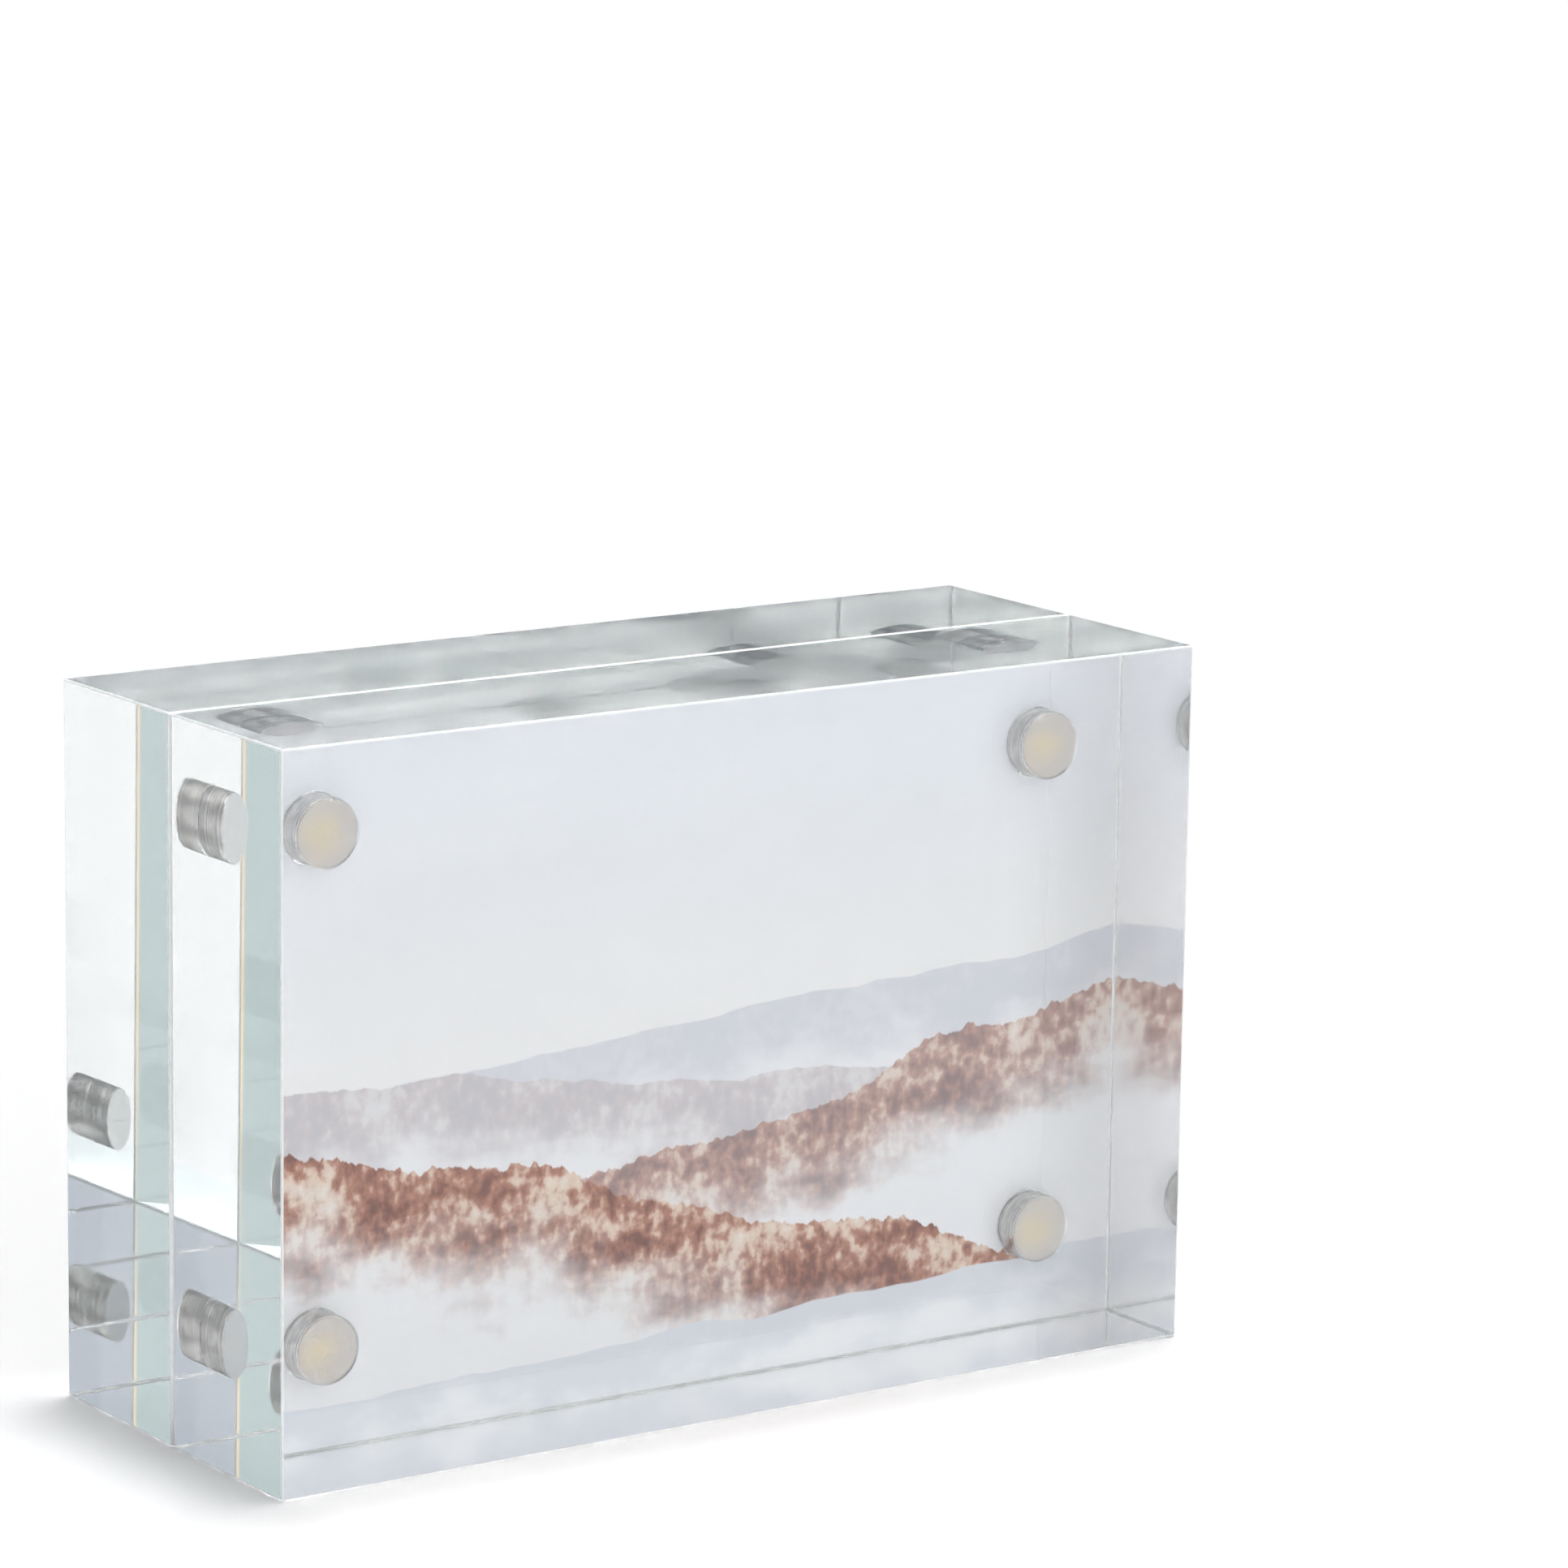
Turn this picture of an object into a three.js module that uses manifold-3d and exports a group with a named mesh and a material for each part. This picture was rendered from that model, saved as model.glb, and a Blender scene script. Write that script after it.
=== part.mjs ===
// Magnetic acrylic photo frame: two clear blocks that clamp a print between them.
// Four short disc magnets are glued into blind bores near the corners of each block, and each
// magnet pulls on the one that faces it through the print.
// Millimetres, +Z up, front towards -Y, origin under the middle of the frame on the table.

import * as THREE from 'three';
import { mergeVertices } from 'three/addons/utils/BufferGeometryUtils.js';
import Module from 'manifold-3d';

// Print
const PRINT_WIDTH = 76.2;
const PRINT_HEIGHT = 51.6; // cut to the blocks
const PRINT_THICKNESS = 0.25;
const PRINT_AIR = 0.05; // air film between the sheet and each block

// Blocks
const SIDE_MARGIN = 0.1; // how far a block reaches past the print at the left and the right
const TOP_MARGIN = 0.1; // and above and below it
const BLOCK_THICKNESS = 14.7; // sold as 15 mm
const EDGE_CHAMFER = 0.15;

// Magnets and the bores that hold them
const MAGNET_DIAMETER = 5;
const MAGNET_LENGTH = 3;
const MAGNET_CHAMFER = 0.1;
const MAGNET_INSET = 7.75; // from the block's edges to the magnet's axis
const MAGNET_RECESS = 0.02; // how far the magnet's face stays below the block's inner face
const BORE_CLEARANCE = 0.02; // on the radius, a close fit
const BORE_LEAD = 0.1; // chamfer at the bore's mouth
const GLUE_THICKNESS = 0.15;
const GLUE_RIM = 0.05; // bare ring between the glue's edge and the magnet's edge

const ROUND_SEGMENTS = 32;

// Sizes that follow from the ones above
const blockWidth = PRINT_WIDTH + 2 * SIDE_MARGIN;
const blockHeight = PRINT_HEIGHT + 2 * TOP_MARGIN;
const innerFace = PRINT_THICKNESS / 2 + PRINT_AIR; // from the frame's middle plane
const magnetRadius = MAGNET_DIAMETER / 2;
const boreRadius = magnetRadius + BORE_CLEARANCE;
const boreDepth = MAGNET_RECESS + MAGNET_LENGTH + GLUE_THICKNESS;

// The two halves: facing is the way from the inner face to the outer one along Y
const HALVES = [
  { side: 'rear', facing: 1 },
  { side: 'front', facing: -1 },
];

// The four corners, named as someone in front of the frame sees them
const CORNERS = [
  { name: 'upper_left', x: -1, top: true },
  { name: 'upper_right', x: 1, top: true },
  { name: 'lower_left', x: -1, top: false },
  { name: 'lower_right', x: 1, top: false },
].map(({ name, x, top }) => ({
  name,
  x: x * (blockWidth / 2 - MAGNET_INSET),
  z: top ? blockHeight - MAGNET_INSET : MAGNET_INSET,
}));

const acrylic = () =>
  new THREE.MeshStandardMaterial({
    color: 0xe6f0ef,
    roughness: 0.05,
    metalness: 0,
    transparent: true,
    opacity: 0.25,
  });
const nickel = () => new THREE.MeshStandardMaterial({ color: 0xb9b6ae, roughness: 0.3, metalness: 1 });
const glue = () => new THREE.MeshStandardMaterial({ color: 0xd8cdb4, roughness: 0.35, metalness: 0 });
const photoPaper = () => new THREE.MeshStandardMaterial({ color: 0xe0e4ea, roughness: 0.4, metalness: 0 });

const wasm = await Module();
wasm.setup();

// Keep only the positions and join the vertices that share one
function closed(geometry) {
  geometry.deleteAttribute('normal');
  geometry.deleteAttribute('uv');
  return mergeVertices(geometry);
}

function toSolid(geometry) {
  const merged = closed(geometry);
  return new wasm.Manifold(
    new wasm.Mesh({
      numProp: 3,
      vertProperties: new Float32Array(merged.attributes.position.array),
      triVerts: new Uint32Array(merged.index.array),
    }),
  );
}

function toGeometry(solid) {
  const { vertProperties, triVerts } = solid.getMesh();
  const geometry = new THREE.BufferGeometry();
  geometry.setAttribute('position', new THREE.BufferAttribute(vertProperties, 3));
  geometry.setIndex(new THREE.BufferAttribute(triVerts, 1));
  geometry.computeVertexNormals();
  return geometry;
}

// A body turned about Y from [radius, depth] pairs that run from the axis out and back to it
function turned(profile, facing) {
  const points = profile.map(([radius, depth]) => new THREE.Vector2(radius, facing * depth));
  if (facing < 0) points.reverse();
  return new THREE.LatheGeometry(points, ROUND_SEGMENTS);
}

// A box with all its edges broken: the outline has cut corners, and the extrusion bevels its ends
function chamferedBlock(width, height, thickness, chamfer) {
  const x = width / 2;
  const y = height / 2;
  const outline = new THREE.Shape();
  outline.moveTo(-x + chamfer, -y);
  outline.lineTo(x - chamfer, -y);
  outline.lineTo(x, -y + chamfer);
  outline.lineTo(x, y - chamfer);
  outline.lineTo(x - chamfer, y);
  outline.lineTo(-x + chamfer, y);
  outline.lineTo(-x, y - chamfer);
  outline.lineTo(-x, -y + chamfer);
  outline.closePath();
  const geometry = new THREE.ExtrudeGeometry(outline, {
    depth: thickness - 2 * chamfer,
    bevelThickness: chamfer,
    bevelSize: chamfer,
    bevelOffset: -chamfer,
    bevelSegments: 1,
  });
  geometry.translate(0, 0, chamfer - thickness / 2);
  geometry.rotateX(Math.PI / 2);
  return geometry;
}

// The cutter for one blind bore, with its mouth at depth 0
function boreCutter(facing) {
  const overrun = BORE_LEAD;
  const mouth = boreRadius + BORE_LEAD;
  const profile = [
    [0, -overrun],
    [mouth, -overrun],
    [mouth, 0],
    [boreRadius, BORE_LEAD],
    [boreRadius, boreDepth],
    [0, boreDepth],
  ];
  return turned(profile, facing);
}

// One clear block, standing on the table, with a bore at every corner of its inner face
function blockGeometry(facing) {
  const slab = chamferedBlock(blockWidth, blockHeight, BLOCK_THICKNESS, EDGE_CHAMFER);
  slab.translate(0, facing * (innerFace + BLOCK_THICKNESS / 2), blockHeight / 2);
  const bored = CORNERS.reduce((solid, { x, z }) => {
    const cutter = boreCutter(facing).translate(x, facing * innerFace, z);
    return solid.subtract(toSolid(cutter));
  }, toSolid(slab));
  return toGeometry(bored);
}

// One disc magnet with its broken edges, from its inner face to its glued end
function magnetGeometry(facing) {
  const profile = [
    [0, 0],
    [magnetRadius - MAGNET_CHAMFER, 0],
    [magnetRadius, MAGNET_CHAMFER],
    [magnetRadius, MAGNET_LENGTH - MAGNET_CHAMFER],
    [magnetRadius - MAGNET_CHAMFER, MAGNET_LENGTH],
    [0, MAGNET_LENGTH],
  ];
  return closed(turned(profile, facing));
}

// The film of glue between a magnet and the floor of its bore
function glueGeometry(facing) {
  const radius = magnetRadius - GLUE_RIM;
  const profile = [
    [0, 0],
    [radius, 0],
    [radius, GLUE_THICKNESS],
    [0, GLUE_THICKNESS],
  ];
  return closed(turned(profile, facing));
}

function piece(name, geometry, material) {
  const mesh = new THREE.Mesh(geometry, material);
  mesh.name = name;
  return mesh;
}

// One half of the frame: its block, its magnets and the glue that holds them
function half({ side, facing }) {
  const group = new THREE.Group();
  group.add(piece(`${side}_block`, blockGeometry(facing), acrylic()));
  for (const { name, x, z } of CORNERS) {
    const magnet = piece(`${side}_magnet_${name}`, magnetGeometry(facing), nickel());
    magnet.position.set(x, facing * (innerFace + MAGNET_RECESS), z);
    const film = piece(`${side}_glue_${name}`, glueGeometry(facing), glue());
    film.position.set(x, facing * (innerFace + MAGNET_RECESS + MAGNET_LENGTH), z);
    group.add(magnet, film);
  }
  return group;
}

// The print, a plain sheet in the middle of the blocks
function print() {
  const sheet = new THREE.BoxGeometry(PRINT_WIDTH, PRINT_THICKNESS, PRINT_HEIGHT);
  const mesh = piece('photo_print', closed(sheet), photoPaper());
  mesh.position.z = blockHeight / 2;
  return mesh;
}

const frame = new THREE.Group();
frame.add(...HALVES.map(half), print());

export default frame;
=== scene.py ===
# %% [markdown]
# # A magnetic photo frame of clear acrylic
# Two thick clear blocks clamp a print between them. Short disc magnets sit in blind bores near the
# corners of each block and pull the blocks together. The finer shapes could be drawn by eye over the
# CAD model. Here every piece takes its size and place from the CAD piece that it stands for, so both
# models stay one object.

# %% Load the CAD frame
import math

import bmesh
import bpy
from mathutils import Color, Matrix, Vector


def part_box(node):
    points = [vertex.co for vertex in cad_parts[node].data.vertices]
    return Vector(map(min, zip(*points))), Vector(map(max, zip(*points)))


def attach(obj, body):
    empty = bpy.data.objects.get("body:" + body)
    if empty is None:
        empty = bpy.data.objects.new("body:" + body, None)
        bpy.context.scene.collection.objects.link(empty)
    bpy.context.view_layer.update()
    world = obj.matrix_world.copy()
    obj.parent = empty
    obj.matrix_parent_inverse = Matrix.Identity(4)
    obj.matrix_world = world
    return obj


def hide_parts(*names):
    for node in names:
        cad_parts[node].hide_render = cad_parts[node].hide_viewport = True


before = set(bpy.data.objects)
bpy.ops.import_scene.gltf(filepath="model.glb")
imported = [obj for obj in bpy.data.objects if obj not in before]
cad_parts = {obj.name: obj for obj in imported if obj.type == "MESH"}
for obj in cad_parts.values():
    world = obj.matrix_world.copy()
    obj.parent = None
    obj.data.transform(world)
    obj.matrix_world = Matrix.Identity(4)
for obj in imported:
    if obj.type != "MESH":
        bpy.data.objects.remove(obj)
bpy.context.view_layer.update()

MM = 0.001
scene = bpy.context.scene
front_low, front_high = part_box("front_block")
rear_low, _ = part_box("rear_block")
print("block size in mm", [round(side / MM, 2) for side in front_high - front_low])

# %% [markdown]
# ## Helpers for nodes
# A material is a small graph of nodes. It could be wired by hand in the shader editor. Here a few
# short helpers add a node, wire it and do sums, so that each finish below reads as a recipe.

# %% Nodes and sums
WHITE = (1.0, 1.0, 1.0, 1.0)
SCREEN_WHITE = 255


def colour(red, green, blue):
    """A colour written as it looks on screen, from 0 to 255, as the linear numbers that nodes use."""
    screen = Color((red / SCREEN_WHITE, green / SCREEN_WHITE, blue / SCREEN_WHITE))
    return (*screen.from_srgb_to_scene_linear(), 1.0)


def feed(tree, socket, value):
    """Put a plain value on a socket, or wire another node's output to it."""
    if isinstance(value, bpy.types.NodeSocket):
        tree.links.new(value, socket)
    else:
        socket.default_value = value


def add_node(tree, kind, inputs=None, **settings):
    """Add a node of one kind with its settings and its inputs."""
    node = tree.nodes.new(kind)
    for name, value in settings.items():
        setattr(node, name, value)
    for name, value in (inputs or {}).items():
        feed(tree, node.inputs[name], value)
    return node


def sums(tree, operation, *values):
    """One step of arithmetic on sockets and numbers."""
    return add_node(tree, "ShaderNodeMath", dict(enumerate(values)), operation=operation).outputs[0]


def dot(tree, first, second):
    """How far one vector goes along another."""
    inputs = {0: first, 1: second}
    return add_node(tree, "ShaderNodeVectorMath", inputs, operation="DOT_PRODUCT").outputs["Value"]


def parts(tree, vector):
    """The X, Y and Z parts of a vector."""
    return add_node(tree, "ShaderNodeSeparateXYZ", {0: vector}).outputs


def stretch(tree, value, low, high, to_low=0.0, to_high=1.0):
    """Map a value from one range to another, with soft ends."""
    inputs = {"Value": value, "From Min": low, "From Max": high, "To Min": to_low, "To Max": to_high}
    return add_node(tree, "ShaderNodeMapRange", inputs, interpolation_type="SMOOTHSTEP").outputs[0]


print("helpers for sums ready")

# %% [markdown]
# ## Helpers for finishes
# Real surfaces are never one even colour. A hand-painted image could bring the change in, but it
# would need a UV map on every piece. Noise on the piece's own coordinates needs none, and it stays
# fixed to the piece when the piece moves.

# %% Colours and noise
MIX_FIRST, MIX_SECOND, MIX_RESULT = 6, 7, 2  # the colour sockets of a Mix node
PLAIN_DETAIL = 2.0


def blend(tree, factor, first, second):
    """Mix two colours by a factor from 0 to 1."""
    inputs = {"Factor": factor, MIX_FIRST: first, MIX_SECOND: second}
    return add_node(tree, "ShaderNodeMix", inputs, data_type="RGBA", clamp_factor=True).outputs[MIX_RESULT]


def object_place(tree):
    """The point on the piece in its own coordinates, in metres."""
    return add_node(tree, "ShaderNodeTexCoord").outputs["Object"]


def mottle(tree, size, detail=PLAIN_DETAIL):
    """Noise through the piece from 0 to 1, whose patches are about this size."""
    inputs = {"Vector": object_place(tree), "Scale": 1 / size, "Detail": detail}
    return add_node(tree, "ShaderNodeTexNoise", inputs).outputs["Fac"]


def line_noise(tree, along, pitch, detail):
    """Noise along a line from 0 to 1, whose waves are about this long."""
    inputs = {"W": along, "Scale": 1 / pitch, "Detail": detail}
    return add_node(tree, "ShaderNodeTexNoise", inputs, noise_dimensions="1D").outputs["Fac"]


def new_finish(name, **sockets):
    """A material with its Principled shader, whose constant values are set on its own sockets."""
    finish = bpy.data.materials.new(name)
    finish.use_nodes = True
    shader = finish.node_tree.nodes["Principled BSDF"]
    for socket, value in sockets.items():
        shader.inputs[socket.replace("_", " ")].default_value = value
    return finish, finish.node_tree, shader


print("helpers for finishes ready")

# %% [markdown]
# ## The camera
# The photograph was taken with a long lens from the front left, a little above the frame. A camera
# is a place, a direction and a lens. It could be moved by hand until the picture fits. Here it is set
# from the point that it looks at, two angles and a distance, which were fitted to the frame's corners.
# The small roll is how far the picture is tilted.

# %% Camera
CAMERA_AIM = Vector((10.44, -3.17, 42.41)) * MM
CAMERA_AZIMUTH = math.radians(34.877)  # from straight ahead towards the frame's left side
CAMERA_HEIGHT_ANGLE = math.radians(11.399)
CAMERA_ROLL = math.radians(0.798)
CAMERA_DISTANCE = 485.07 * MM
CAMERA_LENS = 155.347  # in millimetres, on a sensor of 36 mm
CAMERA_CLIP = 10 * MM  # what is closer than this isn't drawn

looking = Vector((
    math.sin(CAMERA_AZIMUTH) * math.cos(CAMERA_HEIGHT_ANGLE),
    math.cos(CAMERA_AZIMUTH) * math.cos(CAMERA_HEIGHT_ANGLE),
    -math.sin(CAMERA_HEIGHT_ANGLE),
))
camera = bpy.data.objects.new("camera", bpy.data.cameras.new("camera"))
scene.collection.objects.link(camera)
camera.data.lens = CAMERA_LENS
camera.data.clip_start = CAMERA_CLIP
camera.location = CAMERA_AIM - looking * CAMERA_DISTANCE
upright = looking.to_track_quat("-Z", "Y").to_matrix()
camera.rotation_euler = (upright @ Matrix.Rotation(CAMERA_ROLL, 3, "Z")).to_euler()
scene.camera = camera
print("camera at", [round(part / MM, 1) for part in camera.location])

# %% [markdown]
# ## The walls of the studio
# Clear acrylic has hardly a look of its own: it shows the room, bent and mirrored. So the room is
# part of the work. A panorama photograph could light it, but a few blends by direction are easier to
# adjust. The walls are a soft grey, a little greener in front than behind, darker near the floor and
# under a dim ceiling. Behind the camera is a dark card, which the magnets mirror in their sides.

# %% Walls
WALL_FRONT = colour(192, 205, 207)
WALL_BACK = colour(184, 190, 200)
WALL_TURN = (-0.5, 0.5)  # from the front wall's colour to the back wall's, along Y
CEILING = (0.1, 0.1, 0.1, 1.0)
CEILING_RISE = (0.3, 0.55)
WALL_FOOT = colour(90, 99, 107)  # the walls close to the floor
WALL_FOOT_RISE = (0.14, 0.24)
DARK_CARD = (0.05, 0.05, 0.05, 1.0)
DARK_CARD_EDGE = (0.84, 0.94)  # cosines of the angle from the card's middle

world = bpy.data.worlds.new("room")
scene.world = world
world.use_nodes = True
tree = world.node_tree
tree.nodes.clear()
direction = add_node(tree, "ShaderNodeTexCoord").outputs["Generated"]
_, depth, height = parts(tree, direction)
walls = blend(tree, stretch(tree, depth, *WALL_TURN), WALL_FRONT, WALL_BACK)
walls = blend(tree, stretch(tree, height, *CEILING_RISE), walls, CEILING)
walls = blend(tree, stretch(tree, height, *WALL_FOOT_RISE), WALL_FOOT, walls)
to_card = stretch(tree, dot(tree, direction, -looking), *DARK_CARD_EDGE)
walls = blend(tree, to_card, walls, DARK_CARD)
print("walls with", len(tree.nodes), "nodes")

# %% [markdown]
# ## The soft boxes
# A soft box is a lamp behind white cloth. A wide one stands low in front and lights the print. A small
# strong one hangs overhead, a little to the right and behind, so the frame drops a short shadow to
# its left. Area lamps would do the same, but boxes painted on the room also show in the acrylic with
# soft edges. The camera itself sees plain white in place of the room.

# %% Soft boxes
# each soft box: the way to it, the cosines at its soft edge, the heights where it fades in, its strength
SOFT_BOXES = (
    ((0.0, -0.95, 0.30), (0.35, 0.9), (0.02, 0.14), 0.92),
    ((0.085, 0.03, 0.996), (0.99, 0.998), (0.28, 0.42), 65.0),
)

glow = 0.0
for way, edge, rise, strength in SOFT_BOXES:
    box = stretch(tree, dot(tree, direction, Vector(way).normalized()), *edge, 0.0, strength)
    box = sums(tree, "MULTIPLY", box, stretch(tree, height, *rise))
    glow = sums(tree, "ADD", box, glow)
room = add_node(tree, "ShaderNodeBackground", {"Color": walls})
boxes = add_node(tree, "ShaderNodeBackground", {"Color": WHITE, "Strength": glow})
lit = add_node(tree, "ShaderNodeAddShader", {0: room.outputs[0], 1: boxes.outputs[0]})
backdrop = add_node(tree, "ShaderNodeBackground", {"Color": WHITE})
seen = add_node(tree, "ShaderNodeLightPath").outputs["Is Camera Ray"]
view = add_node(tree, "ShaderNodeMixShader", {0: seen, 1: lit.outputs[0], 2: backdrop.outputs[0]})
add_node(tree, "ShaderNodeOutputWorld", {"Surface": view.outputs[0]})
print("room with", len(SOFT_BOXES), "soft boxes")

# %% [markdown]
# ## The floor
# The frame stands on white paper that runs on behind it out of sight. The paper could be modelled as
# a sheet that curves up, but a flat sheet under a white backdrop looks the same. White paint alone
# stays a little grey, so the camera also sees a faint glow on the floor, and nothing else does. A thin
# film of air stays under the frame, because its blocks only rest on the paper.

# %% Floor
FLOOR_REACH = 4.0  # metres to each side
FLOOR_GAP = 0.06 * MM
FLOOR_WHITE = 0.83
FLOOR_GLOW = 0.065
UNIT_GRID = 0.5  # a grid of this size is one metre wide


def flat_stage(name, width, length, place, finish):
    """A flat sheet of the studio, which is not part of the frame."""
    sheet = bmesh.new()
    size = Matrix.Diagonal((width, length, 1.0, 1.0))
    bmesh.ops.create_grid(sheet, x_segments=1, y_segments=1, size=UNIT_GRID, matrix=place @ size)
    mesh = bpy.data.meshes.new(name)
    sheet.to_mesh(mesh)
    sheet.free()
    mesh.materials.append(finish)
    stage = bpy.data.objects.new(name, mesh)
    scene.collection.objects.link(stage)
    return stage


finish, tree, shader = new_finish("floor_white", Roughness=1.0, Specular_IOR_Level=0.0,
                                  Base_Color=(FLOOR_WHITE, FLOOR_WHITE, FLOOR_WHITE, 1.0),
                                  Emission_Color=WHITE)
seen = add_node(tree, "ShaderNodeLightPath").outputs["Is Camera Ray"]
feed(tree, shader.inputs["Emission Strength"], sums(tree, "MULTIPLY", seen, FLOOR_GLOW))
under = Matrix.Translation((0, 0, front_low.z - FLOOR_GAP))
flat_stage("floor", 2 * FLOOR_REACH, 2 * FLOOR_REACH, under, finish)
print("floor", FLOOR_REACH, "m out")

# %% [markdown]
# ## Grey flags
# Glass and acrylic are hard to see on white, so a photographer stands small flags close to them. Here
# two pale green grey flags stand beside the right end, one at each block's front corner. Through the
# blocks they show in the left side as two soft upright strips. Real acrylic also splits light a little,
# so each strip has a warm edge. Cycles doesn't split light, so the flag's own edge is warm instead. A
# flag is seen from one side alone, it throws no shadow and the camera can't see it.

# %% Finish of a flag
FLAG_SHADES = (colour(182, 198, 198), colour(190, 203, 204))
FLAG_TOOTH = 15 * MM  # size of the patches in the card's grey
FRINGE_COLOUR = colour(250, 228, 192)
FRINGE_WIDTH = (0.1 * MM, 0.35 * MM)
FRINGE_RISE = (0.0, 14 * MM)  # close to the floor the fringe is weaker
FRINGE_LOW = 0.25
FLAG_WAY = Vector((0.6, 0.8, 0.0))  # along the flag from the block's corner, seen from above


def flag_finish(name, corner):
    """An evenly lit card, warm at the block's corner and clear from behind."""
    finish = bpy.data.materials.new(name)
    finish.use_nodes = True
    tree = finish.node_tree
    tree.nodes.clear()
    place = object_place(tree)
    along = sums(tree, "SUBTRACT", dot(tree, place, FLAG_WAY), corner.dot(FLAG_WAY))
    warmth = stretch(tree, parts(tree, place)["Z"], *FRINGE_RISE, FRINGE_LOW, 1.0)
    grey = blend(tree, mottle(tree, FLAG_TOOTH), *FLAG_SHADES)
    fringe = blend(tree, warmth, grey, FRINGE_COLOUR)
    shade = blend(tree, stretch(tree, along, *FRINGE_WIDTH), fringe, grey)
    card = add_node(tree, "ShaderNodeEmission", {"Color": shade})
    clear = add_node(tree, "ShaderNodeBsdfTransparent")
    behind = add_node(tree, "ShaderNodeNewGeometry").outputs["Backfacing"]
    sides = add_node(tree, "ShaderNodeMixShader", {0: behind, 1: card.outputs[0], 2: clear.outputs[0]})
    add_node(tree, "ShaderNodeOutputMaterial", {"Surface": sides.outputs[0]})
    return finish


print("fringe", round(FRINGE_WIDTH[1] / MM, 2), "mm wide")

# %% Flags beside the right end
FLAG_GAP = 0.05 * MM  # from the block's corner
FLAG_REACH = (-0.1 * MM, 6 * MM)  # where the flag starts and ends, from that corner
FLAG_HEIGHT = 70 * MM


def hide_from_camera(stage):
    """Leave a sheet of the studio to reflections and to the view through acrylic."""
    stage.visible_camera = False
    stage.visible_diffuse = False
    stage.visible_shadow = False


flag_angle = math.atan2(FLAG_WAY.y, FLAG_WAY.x)
stand_up = Matrix.Rotation(math.radians(-90), 4, "X")
turn = Matrix.Rotation(flag_angle, 4, "Z") @ stand_up
flag_width = FLAG_REACH[1] - FLAG_REACH[0]
for name, low in (("front_flag", front_low), ("rear_flag", rear_low)):
    corner = Vector((front_high.x + FLAG_GAP, low.y - FLAG_GAP, low.z))
    middle = corner + FLAG_WAY * sum(FLAG_REACH) / 2 + Vector((0, 0, FLAG_HEIGHT / 2))
    place = Matrix.Translation(middle) @ turn
    hide_from_camera(flat_stage(name, flag_width, FLAG_HEIGHT, place, flag_finish(name, corner)))
print("flags turned", round(math.degrees(flag_angle)), "degrees")

# %% [markdown]
# ## Painted shade on the floor
# Between the strips, the left side shows the floor beyond the right end, which lies in some shade
# there, so it isn't quite white. The whole floor could be greyer, but then the open floor around the
# frame would be grey too. So a pale grey strip of painted shade lies beside the right end, which only
# the acrylic shows.

# %% Strip of painted shade
SHADE_STRIP_GAP = 0.3 * MM
SHADE_STRIP_WIDTH = 8 * MM
SHADE_STRIP_LENGTH = 80 * MM
# greys of the painted shade on the floor beside the right end
FLOOR_SHADE_GREYS = (colour(224, 231, 232), colour(231, 236, 236))
SHADE_MOTTLE = 12 * MM

finish, tree, shader = new_finish("floor_painted_shade", Roughness=0.9, Specular_IOR_Level=0.0)
feed(tree, shader.inputs["Base Color"], blend(tree, mottle(tree, SHADE_MOTTLE), *FLOOR_SHADE_GREYS))
middle = Vector((front_high.x + SHADE_STRIP_GAP + SHADE_STRIP_WIDTH / 2, 0, front_low.z - FLOOR_GAP / 2))
# the sheet of painted shade, seen only through the acrylic
paper = flat_stage("floor_painted_shade", SHADE_STRIP_WIDTH, SHADE_STRIP_LENGTH, Matrix.Translation(middle), finish)
hide_from_camera(paper)
print("paper", round(SHADE_STRIP_WIDTH / MM), "mm wide")

# %% [markdown]
# ## Clear acrylic
# Cast acrylic bends light with an index of 1.49 and is a little blue green over a long way. A thin
# shell with a see-through finish would be quicker, but only a true solid bends and mirrors what is
# inside it. The faces are polished as flat as a mirror. The bores are left as the tool cut them, and
# the edges are broken with a scraper, which leaves them frosted. The mesh marks the bores and the
# edges as attributes, and the finish reads them.

# %% Acrylic finish
ACRYLIC_INDEX = 1.487
CLEAR_TINT = (0.60, 0.86, 0.84, 1.0)
TINT_PER_METRE = 1.0
BORED_ROUGHNESS = 0.4
BROKEN_ROUGHNESS = 0.6
BROKEN_CLEAR = 0.15  # how much of the light a scraped edge lets through

acrylic, tree, shader = new_finish("clear_acrylic", IOR=ACRYLIC_INDEX, Base_Color=WHITE)
bored = add_node(tree, "ShaderNodeAttribute", attribute_name="bored").outputs["Fac"]
broken = add_node(tree, "ShaderNodeAttribute", attribute_name="broken").outputs["Fac"]
scraped = sums(tree, "MULTIPLY", broken, BROKEN_ROUGHNESS)
feed(tree, shader.inputs["Roughness"], sums(tree, "MULTIPLY_ADD", bored, BORED_ROUGHNESS, scraped))
feed(tree, shader.inputs["Transmission Weight"], stretch(tree, broken, 0.0, 1.0, 1.0, BROKEN_CLEAR))
inside = add_node(tree, "ShaderNodeVolumeAbsorption", {"Color": CLEAR_TINT, "Density": TINT_PER_METRE})
feed(tree, tree.nodes["Material Output"].inputs["Volume"], inside.outputs[0])
print("acrylic index", round(shader.inputs["IOR"].default_value, 3))

# %% [markdown]
# ## The slab
# Each block is sawn from thick sheet, and its sharp edges are broken so that they don't cut the hand.
# A Bevel modifier could do that, but it couldn't mark the new faces. The bevel operator hands them
# back, so they can be frosted. The layer for the marks is made first, because a new layer makes
# a bmesh lose track of the faces it has handed out.

# %% Slab helpers
EDGE_BREAK = 0.15 * MM
EDGE_STEPS = 2


def plain_box(low, high):
    """A box between two corners."""
    shape = bmesh.new()
    place = Matrix.Translation((low + high) / 2) @ Matrix.Diagonal((*(high - low), 1.0))
    bmesh.ops.create_cube(shape, size=1.0, matrix=place)
    return shape


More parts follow.
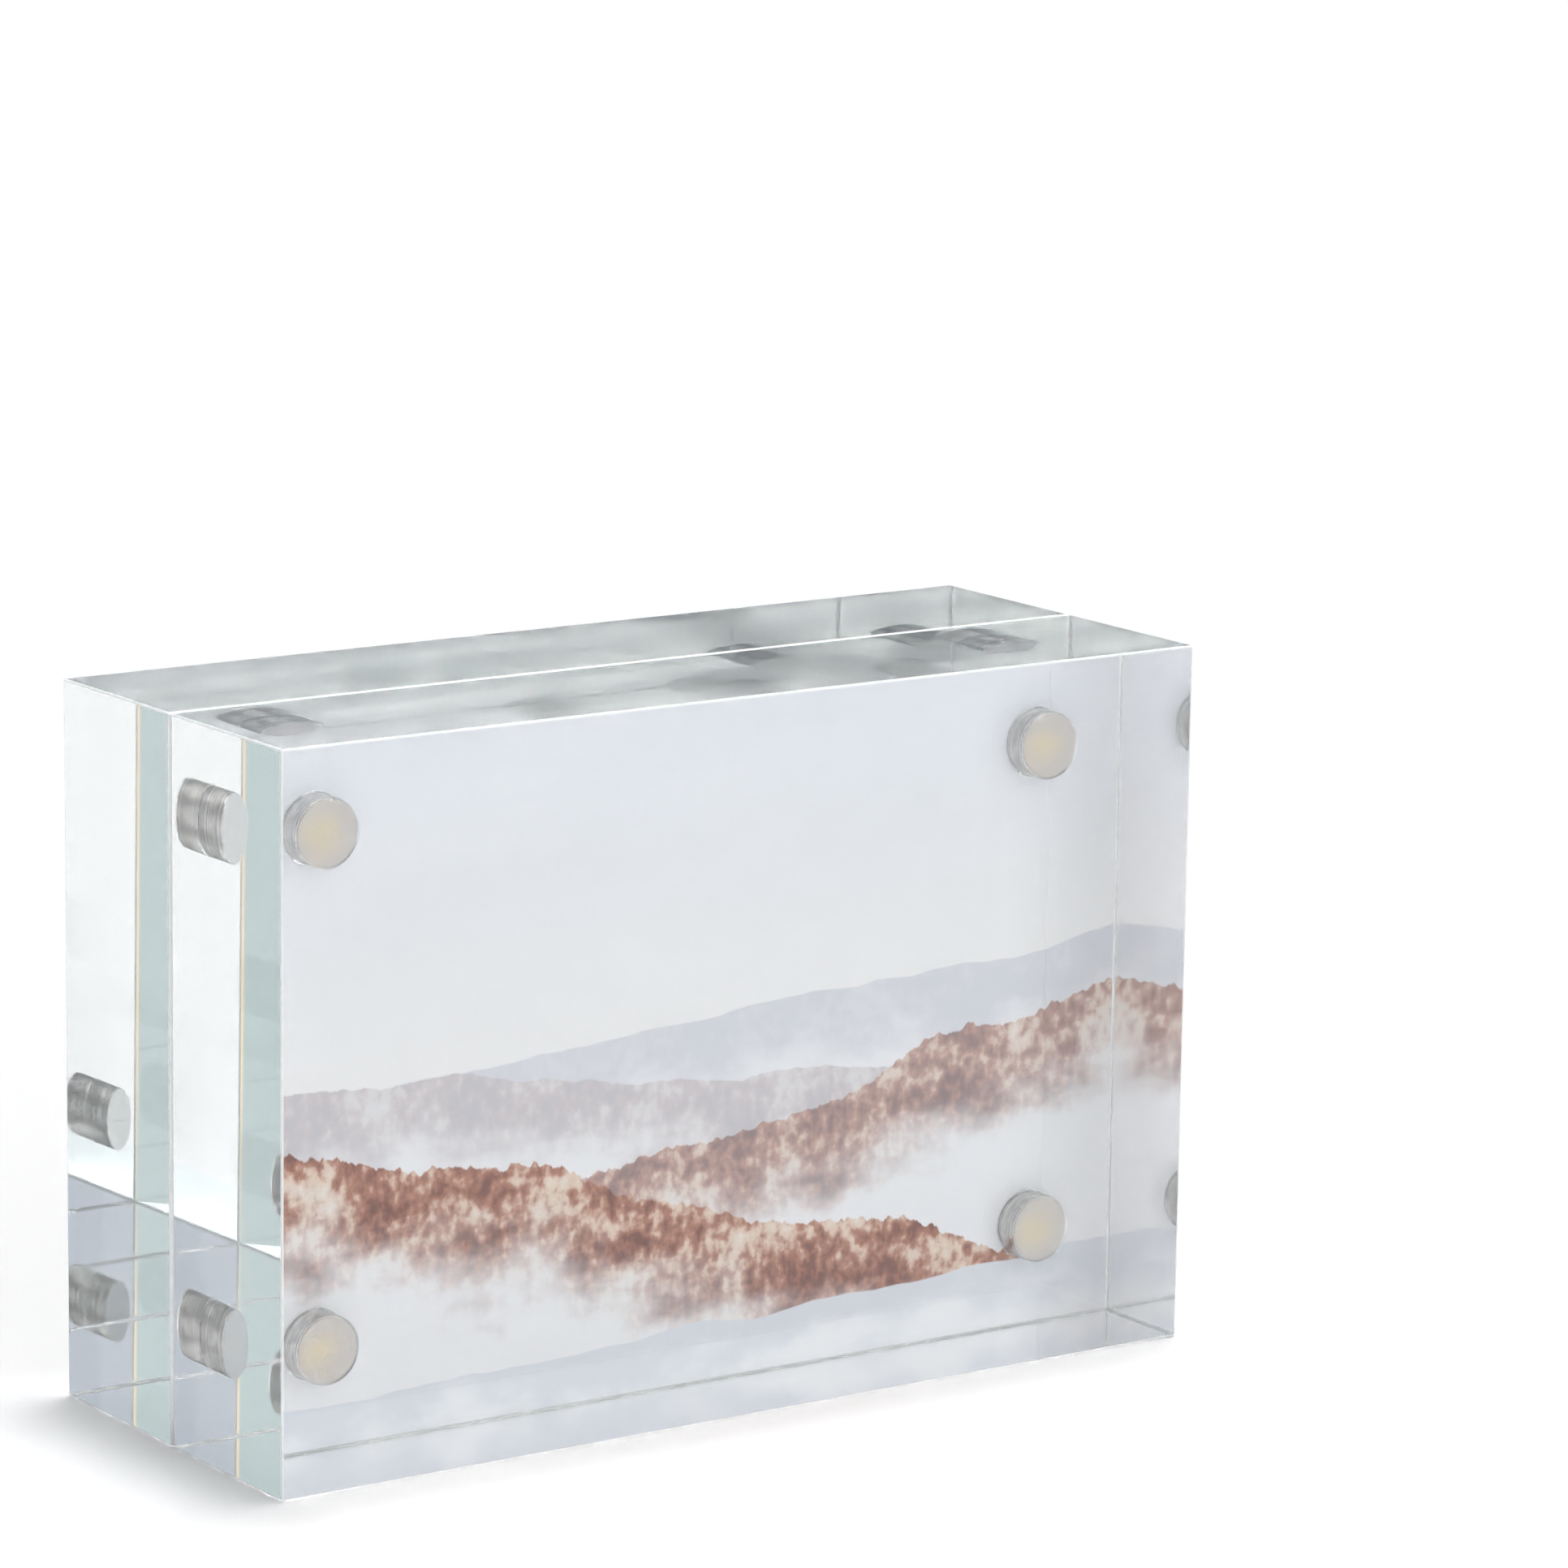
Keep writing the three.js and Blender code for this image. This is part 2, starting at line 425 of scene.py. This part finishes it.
def ease_edges(shape, ease):
    """Round all the edges of a shape a little, and hand back the new faces."""
    return bmesh.ops.bevel(shape, geom=shape.edges[:], offset=ease, offset_type="OFFSET",
                           affect="EDGES", segments=EDGE_STEPS, profile=0.5, material=-1)["faces"]


def slab(low, high):
    """One block before it is bored, with its broken edges marked."""
    shape = plain_box(low, high)
    broken = shape.faces.layers.float.new("broken")
    for face in ease_edges(shape, EDGE_BREAK):
        face[broken] = 1.0
    return shape


print("edges broken by", round(EDGE_BREAK / MM, 2), "mm")

# %% [markdown]
# ## The bores
# A blind bore for each magnet is cut into the block's inner face. A boolean could cut it, but that
# leaves long thin faces. Here a circle is extruded down the bore ring by ring, each ring a little
# wider or narrower, so the tool's marks become real shape.

# %% Bore helpers
BORE_LEAD = 0.1 * MM  # the widened mouth
BORE_RINGS = 20
BORE_MARK = 0.01 * MM
MARK_PHASE = 2.4  # radians from ring to ring, so that the marks look uneven
FLOOR_RINGS = 12
FLOOR_MARK = 0.004 * MM


def next_ring(shape, edges, centre, scale, move):
    """Extrude a ring of edges, then scale the new ring about its axis and move it along the axis."""
    made = bmesh.ops.extrude_edge_only(shape, edges=edges)["geom"]
    corners = [part for part in made if isinstance(part, bmesh.types.BMVert)]
    bmesh.ops.scale(shape, vec=(scale, 1, scale), verts=corners, space=Matrix.Translation(-centre))
    bmesh.ops.translate(shape, vec=(0, move, 0), verts=corners)
    faces = [part for part in made if isinstance(part, bmesh.types.BMFace)]
    rim = [part for part in made if isinstance(part, bmesh.types.BMEdge)
           and all(corner in corners for corner in part.verts)]
    return rim, faces


def drill(shape, rim, centre, radius, depth, facing):
    """Carry a bore's mouth down to its floor and close it, with the tool's marks in both."""
    mouth = radius + BORE_LEAD
    rim, faces = next_ring(shape, rim, centre, radius / mouth, facing * BORE_LEAD)
    before = radius
    step = (depth - BORE_LEAD) / BORE_RINGS
    for ring in range(1, BORE_RINGS + 1):
        mark = BORE_MARK * math.sin(MARK_PHASE * ring) if ring < BORE_RINGS else 0.0
        wide = radius + mark
        rim, made = next_ring(shape, rim, centre, wide / before, facing * step)
        faces += made
        before = wide
    sunk = 0.0
    for ring in range(1, FLOOR_RINGS):
        wide = radius * (1 - ring / FLOOR_RINGS)
        deep = FLOOR_MARK * (ring % 2)
        rim, made = next_ring(shape, rim, centre, wide / before, facing * (deep - sunk))
        faces += made
        before, sunk = wide, deep
    faces += bmesh.ops.contextual_create(shape, geom=rim)["faces"]
    return faces


print("bores of", BORE_RINGS, "rings, with", FLOOR_RINGS, "on the floor")

# %% [markdown]
# ## A bored block
# The inner face is taken off and filled again around the mouths of the four bores, which leaves clean
# faces between them. In the real frame the magnets fit so closely that the acrylic shows their sides
# with no air between. A bore exactly as wide as its magnet would flicker between the two, so the
# acrylic reaches a hair into the metal.

# %% Places of the bores
WETTING = 0.02 * MM  # how far two pieces in close touch reach into each other
FILM_GAP = 0.01 * MM  # between the glue and the floor of its bore
FACES_STRAIGHT = 0.99  # how far along Y the normal of the inner face points, at least


def inner_face(shape, facing):
    """The large face on a block's inner side."""
    inward = [face for face in shape.faces if face.normal.y * facing < -FACES_STRAIGHT]
    return max(inward, key=lambda face: face.calc_area())


def bore_at(side, corner, inner, facing):
    """The middle of a bore's mouth, its radius and its depth, from its magnet and its glue."""
    low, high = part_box(f"{side}_magnet_{corner}")
    glue_low, glue_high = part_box(f"{side}_glue_{corner}")
    middle = (low + high) / 2
    glue_end = glue_high.y if facing > 0 else glue_low.y
    centre = Vector((middle.x, inner, middle.z))
    return centre, (high.x - low.x) / 2 - WETTING, abs(glue_end - inner) + FILM_GAP


print("bores", round(WETTING / MM, 2), "mm tighter than their magnets")

# %% Bored block
CORNERS = ("upper_left", "upper_right", "lower_left", "lower_right")
BORE_STEPS = 96


def bored_block(side, facing):
    """One block: facing is the way from its inner face to its outer face along Y."""
    low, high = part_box(f"{side}_block")
    shape = slab(low, high)
    inner = low.y if facing > 0 else high.y
    flat = inner_face(shape, facing)
    outline = flat.edges[:]
    bmesh.ops.delete(shape, geom=[flat], context="FACES_ONLY")
    mouths = []
    for corner in CORNERS:
        centre, radius, depth = bore_at(side, corner, inner, facing)
        place = Matrix.Translation(centre) @ Matrix.Rotation(math.radians(90), 4, "X")
        ring = bmesh.ops.create_circle(shape, cap_ends=False, segments=BORE_STEPS,
                                       radius=radius + BORE_LEAD, matrix=place)["verts"]
        rim = list({edge for vert in ring for edge in vert.link_edges})
        mouths.append((rim, centre, radius, depth))
        outline += rim
    bmesh.ops.triangle_fill(shape, use_beauty=True, use_dissolve=False, edges=outline,
                            normal=(0, -facing, 0))
    bored = shape.faces.layers.float.new("bored")
    for mouth in mouths:
        for face in drill(shape, *mouth, facing):
            face[bored] = 1.0
    bmesh.ops.recalc_face_normals(shape, faces=shape.faces[:])
    return shape


print("bores of", BORE_STEPS, "steps round")

# %% [markdown]
# ## Both blocks
# The frame has two equal blocks, one behind the print and one in front. One could be a mirrored copy
# of the other, but a mirrored mesh is inside out until it is turned round. The same function simply
# builds both, told which way to face. Faces that meet at more than a small angle keep a sharp edge
# between them, so the polished faces stay flat.

# %% Blocks
HALVES = {"rear": 1, "front": -1}
FLAT_CREASE = math.radians(10)


def add_piece(name, shape, finish, body, node, crease):
    """Make an object of a shape: it stands for a CAD node, moves with its body and takes its slot."""
    mesh = bpy.data.meshes.new(name)
    shape.to_mesh(mesh)
    shape.free()
    mesh.materials.append(finish)
    mesh.shade_smooth()
    mesh.set_sharp_from_angle(angle=crease)
    piece = bpy.data.objects.new(name, mesh)
    scene.collection.objects.link(piece)
    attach(piece, body)
    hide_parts(node)
    return piece


for side, facing in HALVES.items():
    piece = add_piece(f"{side}_clear_block", bored_block(side, facing), acrylic, f"{side}_half",
                      f"{side}_block", FLAT_CREASE)
    print(piece.name, len(piece.data.polygons), "faces")

# %% [markdown]
# ## Plated nickel
# A disc magnet is pressed, ground and plated with nickel. The plating keeps fine marks that run round
# the axis. They could be cut into the mesh, but they are far too fine. So noise along the axis changes
# the grey and the roughness, and the shine is drawn out across the marks.

# %% Nickel finish
NICKEL_SHADES = (colour(164, 163, 161), colour(251, 249, 246))
NICKEL_ROUGHNESS = (0.44, 0.3)
NICKEL_DRAWN = 0.4  # how far the marks draw out the shine
GRIND_PITCH = 0.3 * MM
GRIND_DETAIL = 2.0
GRIND_SHARE = 0.7
BLOTCH_SIZE = 0.9 * MM
BLOTCH_DETAIL = 3.0
BLOTCH_SHARE = 0.3
MARK_RANGE = (0.3, 0.7)

nickel, tree, shader = new_finish("plated_nickel", Metallic=1.0, Anisotropic=NICKEL_DRAWN)
blotches = sums(tree, "MULTIPLY", mottle(tree, BLOTCH_SIZE, BLOTCH_DETAIL), BLOTCH_SHARE)
grind = line_noise(tree, parts(tree, object_place(tree))["Y"], GRIND_PITCH, GRIND_DETAIL)
marks = sums(tree, "MULTIPLY_ADD", grind, GRIND_SHARE, blotches)
feed(tree, shader.inputs["Base Color"], blend(tree, stretch(tree, marks, *MARK_RANGE), *NICKEL_SHADES))
feed(tree, shader.inputs["Roughness"], stretch(tree, marks, *MARK_RANGE, *NICKEL_ROUGHNESS))
round_axis = add_node(tree, "ShaderNodeTangent", direction_type="UV_MAP", uv_map="turned").outputs[0]
feed(tree, shader.inputs["Tangent"], round_axis)
print("nickel with", len(tree.nodes), "nodes")

# %% [markdown]
# ## Turned discs
# A magnet is a short cylinder with rounded rims. A cylinder with a bevel would do, but its round ends
# would be single large faces. Here half the outline is drawn, its corners are rounded and it is spun
# about the axis, as on a lathe. A UV map follows the turning, so the finish knows which way is round.

# %% Disc helpers
TURN_STEPS = 96
RIM_STEPS = 4
END_RINGS = 6  # cuts between the axis and the rim, on the flat ends
SAME_POINT = 0.001 * MM  # points closer than this are one
ON_AXIS = 0.01 * MM  # a point closer to the axis than this has no angle of its own
MAP_SPAN = 4  # radii that the map's second direction covers


def lay_round(shape, middle, radius):
    """A UV map whose first direction runs round the axis."""
    layer = shape.loops.layers.uv.new("turned")
    for face in shape.faces:
        from_axis = face.calc_center_median() - middle
        facing = math.atan2(from_axis.z, from_axis.x)
        for loop in face.loops:
            arm = loop.vert.co - middle
            reach = math.hypot(arm.x, arm.z)
            turn = math.atan2(arm.z, arm.x) - facing if reach > ON_AXIS else 0.0
            turn = (turn + math.pi) % math.tau - math.pi
            loop[layer].uv = ((facing + turn) / math.tau, (reach + arm.y) / (MAP_SPAN * radius))


def turned_disc(low, high, rim):
    """A disc about an axis along Y, turned from half its outline, with rounded rims."""
    middle = (low + high) / 2
    radius = (high.x - low.x) / 2
    shape = bmesh.new()
    corners = [
        shape.verts.new((middle.x + reach, along, middle.z))
        for reach, along in ((0, low.y), (radius, low.y), (radius, high.y), (0, high.y))
    ]
    for pair in zip(corners, corners[1:]):
        shape.edges.new(pair)
    bmesh.ops.bevel(shape, geom=corners[1:3], offset=rim, offset_type="OFFSET", affect="VERTICES",
                    segments=RIM_STEPS, profile=0.5, material=-1)
    ends = [edge for edge in shape.edges if edge.calc_length() > radius / 2
            and abs(edge.verts[0].co.y - edge.verts[1].co.y) < SAME_POINT]
    bmesh.ops.subdivide_edges(shape, edges=ends, cuts=END_RINGS)
    bmesh.ops.spin(shape, geom=shape.verts[:] + shape.edges[:], cent=middle, axis=(0, 1, 0),
                   angle=math.tau, steps=TURN_STEPS, use_merge=True)
    bmesh.ops.remove_doubles(shape, verts=shape.verts[:], dist=SAME_POINT)
    bmesh.ops.recalc_face_normals(shape, faces=shape.faces[:])
    lay_round(shape, middle, radius)
    return shape


print("discs of", TURN_STEPS, "steps round")

# %% [markdown]
# ## The magnets
# Each block holds four magnets, and each one faces its partner in the other block. They could be
# copies of one mesh that are moved into place. Here each is turned where it sits, so its object stays
# at the origin and its marks differ from those of the others.

# %% Magnets
RIM_ROUND = 0.1 * MM
ROUND_CREASE = math.radians(30)

for side in HALVES:
    for corner in CORNERS:
        node = f"{side}_magnet_{corner}"
        disc = turned_disc(*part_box(node), RIM_ROUND)
        piece = add_piece(f"{side}_disc_magnet_{corner}", disc, nickel, f"{side}_half", node,
                          ROUND_CREASE)
        print(piece.name, len(piece.data.polygons), "faces")

# %% [markdown]
# ## Cloudy epoxy
# A film of epoxy holds each magnet to the floor of its bore. It has yellowed a little and is not quite
# clear, which gives the magnets' ends their warm beige. A volume could cloud it, but so thin a film
# would need many samples. So its colour follows its depth, which the mesh keeps as an attribute: thin
# film lets the grey metal through, and thick film is cream. The depth is also shifted to one side as a
# painted sheen, which makes each end lighter towards the frame's left side.

# %% Glue finish
THIN_FILM = colour(228, 221, 216)
THICK_FILM = colour(246, 232, 200)
FILM_RANGE = (0.1, 0.9)  # from thin to thick
EPOXY_INDEX = 1.5
EPOXY_CLEAR = 0.15
EPOXY_ROUGHNESS = 0.3
CLOUD_SIZE = 1.6 * MM
CLOUD_DETAIL = 3.0
CLOUD_RANGE = (0.2, 0.8)
CLOUD_SWING = (-0.25, 0.25)

glue, tree, shader = new_finish("cloudy_epoxy", IOR=EPOXY_INDEX, Transmission_Weight=EPOXY_CLEAR,
                                Roughness=EPOXY_ROUGHNESS)
cloud = stretch(tree, mottle(tree, CLOUD_SIZE, CLOUD_DETAIL), *CLOUD_RANGE, *CLOUD_SWING)
# the film's depth, whose thick part is shifted to paint a sheen on one side of each end
depth_and_sheen = add_node(tree, "ShaderNodeAttribute", attribute_name="film_depth_and_sheen").outputs["Fac"]
depth_and_sheen = stretch(tree, sums(tree, "ADD", depth_and_sheen, cloud), *FILM_RANGE)
feed(tree, shader.inputs["Base Color"], blend(tree, depth_and_sheen, THIN_FILM, THICK_FILM))
print("glue with", len(tree.nodes), "nodes")

# %% [markdown]
# ## The films of glue
# A drop of glue was pressed flat by the magnet. The film is thick where the drop was, thin at its rim,
# and it stops short of the magnet's edge. Its thick part is set a little left of the axis as a painted
# sheen, which makes each end lighter on that side, as a highlight would. It could be sculpted, but its
# depth hardly shows as shape. So it is a turned disc, with its depth and painted sheen noted at every
# corner of the mesh.

# %% Films of glue
FILM_ROUND = 0.05 * MM
FILM_INSET = Vector((0.12, 0.0, 0.12)) * MM
# where the thick part sits: this shift paints a sheen towards the frame's left side
DROP_AND_SHEEN_SHIFT = Vector((-0.55, 0.0, 0.05)) * MM
DROP_REACH = 2.4 * MM


def mark_depth_and_sheen(shape, middle):
    """Note at every corner how thick the film is there, from 0 to 1, with the thick part shifted to paint a
    sheen.
    """
    layer = shape.verts.layers.float.new("film_depth_and_sheen")
    for corner in shape.verts:
        arm = corner.co - middle - DROP_AND_SHEEN_SHIFT
        corner[layer] = max(0.0, 1 - math.hypot(arm.x, arm.z) / DROP_REACH)


for side, facing in HALVES.items():
    for corner in CORNERS:
        node = f"{side}_glue_{corner}"
        low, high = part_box(node)
        if facing > 0:
            low.y -= WETTING
        else:
            high.y += WETTING
        disc = turned_disc(low + FILM_INSET, high - FILM_INSET, FILM_ROUND)
        mark_depth_and_sheen(disc, (low + high) / 2)
        add_piece(f"{side}_glue_film_{corner}", disc, glue, f"{side}_half", node, ROUND_CREASE)
print("films of glue", len(HALVES) * len(CORNERS))

# %% [markdown]
# ## Photo paper
# The print is one sheet of satin photo paper. What it shows is made here by nodes: wooded hills in
# autumn, one behind another, with mist in the valleys. An image file could hold it, but nodes stay
# sharp at any size. First, a place on the sheet is given as a share of its width and its height.

# %% Coordinates on the sheet
SATIN_SHINE = 0.4
SATIN_ROUGHNESS = 0.35
HALFWAY = 0.5  # the middle of the sheet, as a share of its width and of its height

printed, tree, shader = new_finish("photo_paper", Specular_IOR_Level=SATIN_SHINE, Roughness=SATIN_ROUGHNESS)
print_low, print_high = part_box("photo_print")
sheet_size = print_high - print_low
sheet_middle = (print_low + print_high) / 2
on_sheet = add_node(tree, "ShaderNodeMapping", {
    "Vector": object_place(tree),
    "Scale": (1 / sheet_size.x, 1.0, 1 / sheet_size.z),
    "Location": (HALFWAY - sheet_middle.x / sheet_size.x, 0.0, HALFWAY - sheet_middle.z / sheet_size.z),
})
across, _, up = parts(tree, on_sheet.outputs[0])
print("sheet size in mm", [round(side / MM, 2) for side in sheet_size])

# %% [markdown]
# ## The sky of the picture
# The picture is built from the back, so it starts with a pale sky and a few long clouds. A plain
# ramp would give the sky alone. Noise that is drawn out sideways adds the clouds.

# %% Sky of the picture
SKY_TOP = colour(235, 238, 244)
SKY_LOW = colour(243, 243, 244)
SKY_RISE = (0.45, 1.0)
CLOUD_WHITE = colour(246, 247, 249)
CLOUD_BANK = (34 * MM, 9 * MM)
CLOUD_COVER = (0.45, 0.75)
CLOUD_STRENGTH = 0.6
PATCH_DETAIL = 4.0


def speckle(tree, width, height):
    """Noise on the sheet, whose patches are about so wide and so high."""
    scale = (1 / width, 0.0, 1 / height)
    place = add_node(tree, "ShaderNodeMapping", {"Vector": object_place(tree), "Scale": scale})
    inputs = {"Vector": place.outputs[0], "Scale": 1.0, "Detail": PATCH_DETAIL}
    return add_node(tree, "ShaderNodeTexNoise", inputs).outputs["Fac"]


picture = blend(tree, stretch(tree, up, *SKY_RISE), SKY_LOW, SKY_TOP)
clouds = stretch(tree, speckle(tree, *CLOUD_BANK), *CLOUD_COVER, 0.0, CLOUD_STRENGTH)
picture = blend(tree, clouds, picture, CLOUD_WHITE)
print("sky with", len(tree.nodes), "nodes")

# %% [markdown]
# ## The woods of the picture
# From far away an autumn wood is a mottle of dark gaps, brown leaves and pale ground. Trees could be
# scattered one by one, but at this scale they are specks. So fine noise for the crowns and coarse
# noise for the groves are added up, and a ramp turns the sum into colours.

# %% Woods of the picture
# from the shade between the trees to pale leaves and bare ground
WOODS = (
    (0.30, colour(78, 40, 30)),
    (0.42, colour(132, 72, 52)),
    (0.50, colour(180, 124, 98)),
    (0.57, colour(226, 202, 184)),
    (0.68, colour(240, 230, 220)),
)
CROWN_SIZE = (0.9 * MM, 1.2 * MM)
CROWN_SHARE = 0.45
GROVE_SIZE = (7 * MM, 4 * MM)
GROVE_SHARE = 0.55


def ramp(tree, factor, stops):
    """A row of colours, each at its own value of the factor."""
    node = add_node(tree, "ShaderNodeValToRGB", {0: factor})
    while len(node.color_ramp.elements) < len(stops):
        node.color_ramp.elements.new(1.0)
    for element, (place, shade) in zip(node.color_ramp.elements, stops):
        element.position = place
        element.color = shade
    return node.outputs[0]


groves = speckle(tree, *GROVE_SIZE)
crowns = sums(tree, "MULTIPLY", speckle(tree, *CROWN_SIZE), CROWN_SHARE)
leaves = sums(tree, "MULTIPLY_ADD", groves, GROVE_SHARE, crowns)
woods = ramp(tree, leaves, WOODS)
print("woods of", len(WOODS), "colours")

# %% [markdown]
# ## The hills of the picture
# Each hill is a line of noise across the sheet, and all that lies under the line takes the hill's
# colours. The hills could be meshes seen through a camera, but a flat print needs no depth. They are
# laid over one another from the farthest to the nearest. Far hills and the nearest slope are pale
# with haze, and the foot of every hill fades into mist.

# %% Hills of the picture
MIST = colour(240, 241, 244)
HAZE = colour(223, 227, 235)
# each hill: level and slope of its crest, swing and number of humps, share of haze, depth of its trees
HILLS = (
    (0.52, 0.10, 0.05, 2.1, 0.92, 0.16),
    (0.44, -0.14, 0.06, 2.6, 0.72, 0.15),
    (0.34, 0.30, 0.07, 2.3, 0.22, 0.20),
    (0.26, -0.36, 0.06, 2.9, 0.0, 0.22),
    (0.08, 0.04, 0.05, 2.0, 0.97, 0.10),
)
CREST_START = 1.7  # where in the noise the first hill starts
CREST_APART = 7.3  # and how far on the next one does
CREST_DETAIL = 4.0
CREST_EDGE = (-0.001, 0.002)
TREE_TOPS = 0.011  # height of the tree tops on a crest
TREE_COUNT = 80.0  # tree tops across the sheet
TREES_APART = 3.1
TREE_DETAIL = 3.0
MIST_SWING = 0.25
MIST_START = 0.2  # where mist starts, as a share of the depth of the trees


def profile(tree, humps, start, detail):
    """Noise along the sheet alone, from -1 to 1, with so many humps on its width."""
    along = sums(tree, "MULTIPLY_ADD", across, humps, start)
    return sums(tree, "MULTIPLY_ADD", line_noise(tree, along, 1.0, detail), 2.0, -1.0)


from_middle = sums(tree, "SUBTRACT", across, HALFWAY)
drift = sums(tree, "MULTIPLY", sums(tree, "SUBTRACT", groves, HALFWAY), MIST_SWING)
for number, (level, slope, swing, humps, haze, trees) in enumerate(HILLS):
    crest = sums(tree, "MULTIPLY_ADD", from_middle, slope, level)
    ridge = profile(tree, humps, CREST_START + CREST_APART * number, CREST_DETAIL)
    crest = sums(tree, "MULTIPLY_ADD", ridge, swing, crest)
    tops = profile(tree, TREE_COUNT, TREES_APART * number, TREE_DETAIL)
    crest = sums(tree, "MULTIPLY_ADD", tops, TREE_TOPS * (1 - haze), crest)
    under = sums(tree, "SUBTRACT", crest, up)
    misty = stretch(tree, sums(tree, "ADD", under, drift), MIST_START * trees, trees)
    hill = blend(tree, misty, blend(tree, haze, woods, HAZE), MIST)
    picture = blend(tree, stretch(tree, under, *CREST_EDGE), picture, hill)
print("picture with", len(tree.nodes), "nodes")

# %% [markdown]
# ## Both sides of the paper
# Photo paper carries its picture on one side and is plain white on the other. Two materials on one
# mesh would do, but one finish that looks at the way a face points is shorter. The picture is a
# little darker towards its right edge.

# %% Sides of the paper
PAPER_BACK = colour(248, 248, 246)
FRONT_FACING = -0.5  # faces that point further towards the front than this carry the picture
EDGE_FADE = (0.86, 1.0)  # across the sheet
EDGE_LEVELS = (1.0, 0.84)

fade = stretch(tree, across, *EDGE_FADE, *EDGE_LEVELS)
faded = add_node(tree, "ShaderNodeVectorMath", {0: picture, "Scale": fade}, operation="SCALE").outputs[0]
normal = add_node(tree, "ShaderNodeTexCoord").outputs["Normal"]
front_side = sums(tree, "LESS_THAN", parts(tree, normal)["Y"], FRONT_FACING)
feed(tree, shader.inputs["Base Color"], blend(tree, front_side, PAPER_BACK, faded))
print("paper with", len(tree.nodes), "nodes")

# %% [markdown]
# ## The printed sheet
# The sheet is cut to the blocks, and its cut edges are a little soft. A plane would show the picture
# as well, but real paper has a thickness that is seen when the sheet is drawn out. So it is a thin
# box with eased edges.

# %% Printed sheet
PAPER_EASE = 0.04 * MM

sheet = plain_box(print_low, print_high)
ease_edges(sheet, PAPER_EASE)
piece = add_piece("printed_sheet", sheet, printed, "print", "photo_print", FLAT_CREASE)
print(piece.name, len(piece.data.polygons), "faces")

# %% [markdown]
# ## Light paths
# Light that enters a clear block bounces many times inside it before it leaves, so Cycles needs more
# bounces than usual. To save time, Cycles also blurs polished faces for light that has met a matt one
# and cuts very bright light. Both would dim what the acrylic shows, so both are switched off. The
# denoiser is guided by colours and not by the way that faces point, because the first face that a
# ray meets here is clear and says nothing of what lies behind it.

# %% Light bounces
BOUNCES = 32

scene.cycles.max_bounces = BOUNCES
scene.cycles.transmission_bounces = BOUNCES
scene.cycles.glossy_bounces = BOUNCES
scene.cycles.blur_glossy = 0.0
scene.cycles.sample_clamp_indirect = 0.0
scene.cycles.denoising_input_passes = "RGB_ALBEDO"
scene.view_settings.view_transform = "Standard"
print("up to", BOUNCES, "bounces")
